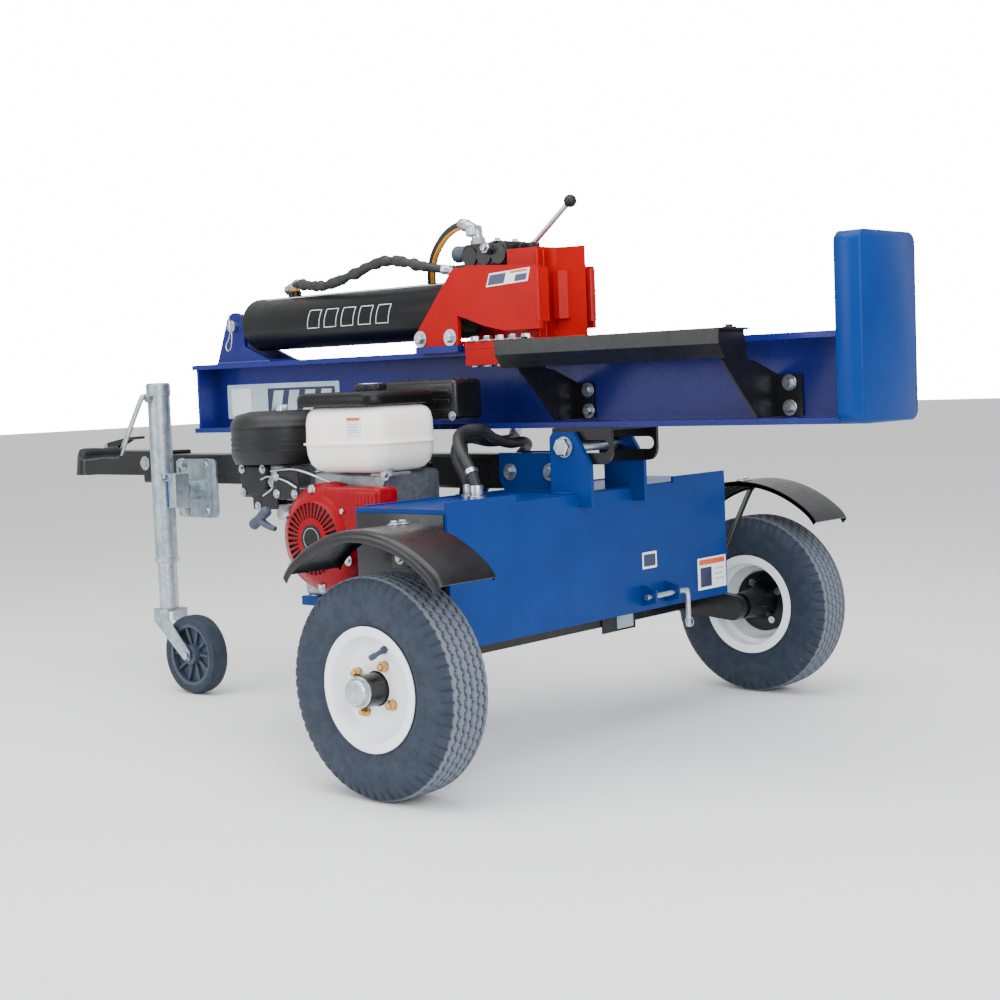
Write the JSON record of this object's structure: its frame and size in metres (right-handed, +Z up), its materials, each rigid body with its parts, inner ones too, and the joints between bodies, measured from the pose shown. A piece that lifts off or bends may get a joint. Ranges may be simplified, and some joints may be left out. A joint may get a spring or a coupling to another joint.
{
  "type": "log splitter",
  "caption": "Towable petrol-hydraulic log splitter with a tilting I-beam, cylinder-driven wedge, foot plate, side table, reservoir chassis on two wheels, coupler and swing jack.",
  "frame": {"origin": "on the ground under the middle of the machine's bounding box", "axes": "+X along the beam towards the foot plate, +Y along the axle towards the wheel on the far side from the engine's starter, +Z up"},
  "size_m": [2.529, 1.44, 1.154],
  "materials": {
    "blue_paint": "gloss enamel",
    "red_paint": "gloss enamel",
    "black_paint": "satin powder coat",
    "black_plastic": "satin",
    "white_plastic": "smooth moulded",
    "white_paint": "gloss enamel",
    "tyre_rubber": "moulded rubber",
    "hose_rubber": "smooth braided hose",
    "zinc": "zinc plated",
    "steel": "ground and polished",
    "cast_alloy": "as cast"
  },
  "bodies": {
    "chassis": {"reservoir": "blue_paint", "tongue": "black_paint", "beam_rest": "black_paint", "coupler": "black_paint", "axle_tube": "black_paint", "torsion_arm_near": "black_paint", "torsion_arm_far": "black_paint", "fender_near": "black_paint", "fender_far": "black_paint", "engine_base": "blue_paint", "engine_block": "cast_alloy", "fan_cover": "red_paint", "fuel_tank": "white_plastic", "tank_tray": "black_plastic", "air_cleaner": "black_plastic", "carburettor": "black_plastic", "muffler": "black_paint", "pump_bell_housing": "cast_alloy", "hydraulic_pump": "cast_alloy", "jack_mount": "zinc", "suction_hose": "hose_rubber", "pressure_hose": "hose_rubber", "return_hose": "hose_rubber"},
    "pivot": {"pivot_shaft": "zinc"},
    "beam_assembly": {"beam": "blue_paint", "foot_plate": "blue_paint", "beam_pivot_bracket": "black_paint", "cylinder_clevis": "blue_paint", "cylinder_barrel": "black_paint", "cylinder_pin": "zinc", "stripper_near": "red_paint", "stripper_far": "red_paint", "control_valve": "black_paint", "cylinder_hose": "hose_rubber", "log_table": "black_paint", "table_bracket_back": "black_paint", "table_bracket_front": "black_paint"},
    "wedge_assembly": {"wedge": "red_paint", "slide_gib_near": "red_paint", "slide_gib_far": "red_paint", "piston_rod": "steel", "rod_pin": "zinc"},
    "lever": {"valve_lever": "steel"},
    "wheel_near": {"tyre_near": "tyre_rubber", "rim_near": "white_paint", "hub_near": "black_paint"},
    "wheel_far": {"tyre_far": "tyre_rubber", "rim_far": "white_paint", "hub_far": "black_paint"},
    "jack_tube": {"jack_outer_tube": "zinc"},
    "jack_handle": {"jack_crank": "zinc"},
    "jack_leg": {"jack_inner_tube": "zinc"},
    "caster_frame": {"caster_fork": "zinc"},
    "caster_roller": {"caster_wheel": "black_plastic"},
    "latch": {"coupler_latch": "black_paint"},
    "locking_pin": {"lock_pin": "zinc"},
    "starter_pull": {"starter_grip": "black_plastic"},
    "fuel_lid": {"fuel_cap": "black_plastic"},
    "oil_lid": {"filler_cap": "black_plastic"},
    "pump_coupling": {"drive_shaft": "steel"}
  },
  "joints": [
    {"name": "beam_tilt", "type": "hinge", "parent": "chassis", "child": "pivot", "pos_m": [0.5675, 0, 0.621], "axis": [0, 1, 0], "range_deg": [0, 90], "deforming": ["pressure_hose", "return_hose"]},
    {"name": "beam_slide", "type": "slide", "parent": "pivot", "child": "beam_assembly", "axis": [-1, 0, 0], "range_m": [0, 0.0851]},
    {"name": "wedge_stroke", "type": "slide", "parent": "beam_assembly", "child": "wedge_assembly", "axis": [1, 0, 0], "range_m": [0, 0.61]},
    {"name": "valve_lever_throw", "type": "hinge", "parent": "beam_assembly", "child": "lever", "pos_m": [0.3905, 0.036, 1.053], "axis": [0, 1, 0], "range_deg": [-18, 18], "stiffness_Nm_per_rad": 8},
    {"name": "wheel_near_spin", "type": "hinge", "parent": "chassis", "child": "wheel_near", "pos_m": [0.5625, -0.628, 0.2095], "axis": [0, 1, 0], "continuous": true},
    {"name": "wheel_far_spin", "type": "hinge", "parent": "chassis", "child": "wheel_far", "pos_m": [0.5625, 0.628, 0.2095], "axis": [0, 1, 0], "continuous": true},
    {"name": "jack_swing", "type": "hinge", "parent": "chassis", "child": "jack_tube", "pos_m": [-0.7075, -0.125, 0.515], "axis": [0, 1, 0], "range_deg": [-90, 0]},
    {"name": "jack_crank_turn", "type": "hinge", "parent": "jack_tube", "child": "jack_handle", "pos_m": [-0.7425, -0.125, 0.754], "axis": [0, 1, 0], "range_deg": [-3600, 3600]},
    {"name": "jack_extend", "type": "slide", "parent": "jack_tube", "child": "jack_leg", "axis": [0, 0, -1], "range_m": [-0.1, 0.1]},
    {"name": "caster_swivel", "type": "hinge", "parent": "jack_leg", "child": "caster_frame", "pos_m": [-0.7425, -0.125, 0.2], "axis": [0, 0, 1], "continuous": true},
    {"name": "caster_roll", "type": "hinge", "parent": "caster_frame", "child": "caster_roller", "pos_m": [-0.6425, -0.125, 0.1], "axis": [0, 1, 0], "continuous": true},
    {"name": "coupler_latch_lift", "type": "hinge", "parent": "chassis", "child": "latch", "pos_m": [-1.1375, 0, 0.618], "axis": [0, -1, 0], "range_deg": [0, 55]},
    {"name": "lock_pin_slide", "type": "slide", "parent": "chassis", "child": "locking_pin", "axis": [0, -1, 0], "range_m": [0, 0.025]},
    {"name": "starter_pull", "type": "slide", "parent": "chassis", "child": "starter_pull", "axis": [0, -1, 0], "range_m": [0, 0.5], "stiffness_N_per_m": 15, "springref_m": -0.4},
    {"name": "fuel_cap_turn", "type": "hinge", "parent": "chassis", "child": "fuel_lid", "pos_m": [0.2225, -0.31, 0.76], "axis": [0, 0, 1], "range_deg": [0, 120]},
    {"name": "filler_cap_turn", "type": "hinge", "parent": "chassis", "child": "oil_lid", "pos_m": [0.4425, 0.3, 0.53], "axis": [0, 0, 1], "range_deg": [0, 360]},
    {"name": "pump_shaft_spin", "type": "hinge", "parent": "chassis", "child": "pump_coupling", "pos_m": [0.1525, -0.1, 0.453], "axis": [0, 1, 0], "continuous": true}
  ],
  "couplings": [
    {"joint": "beam_slide", "follows": "beam_tilt", "m_per_rad": 0.05411},
    {"joint": "jack_extend", "follows": "jack_crank_turn", "m_per_rad": 0.0015915}
  ]
}
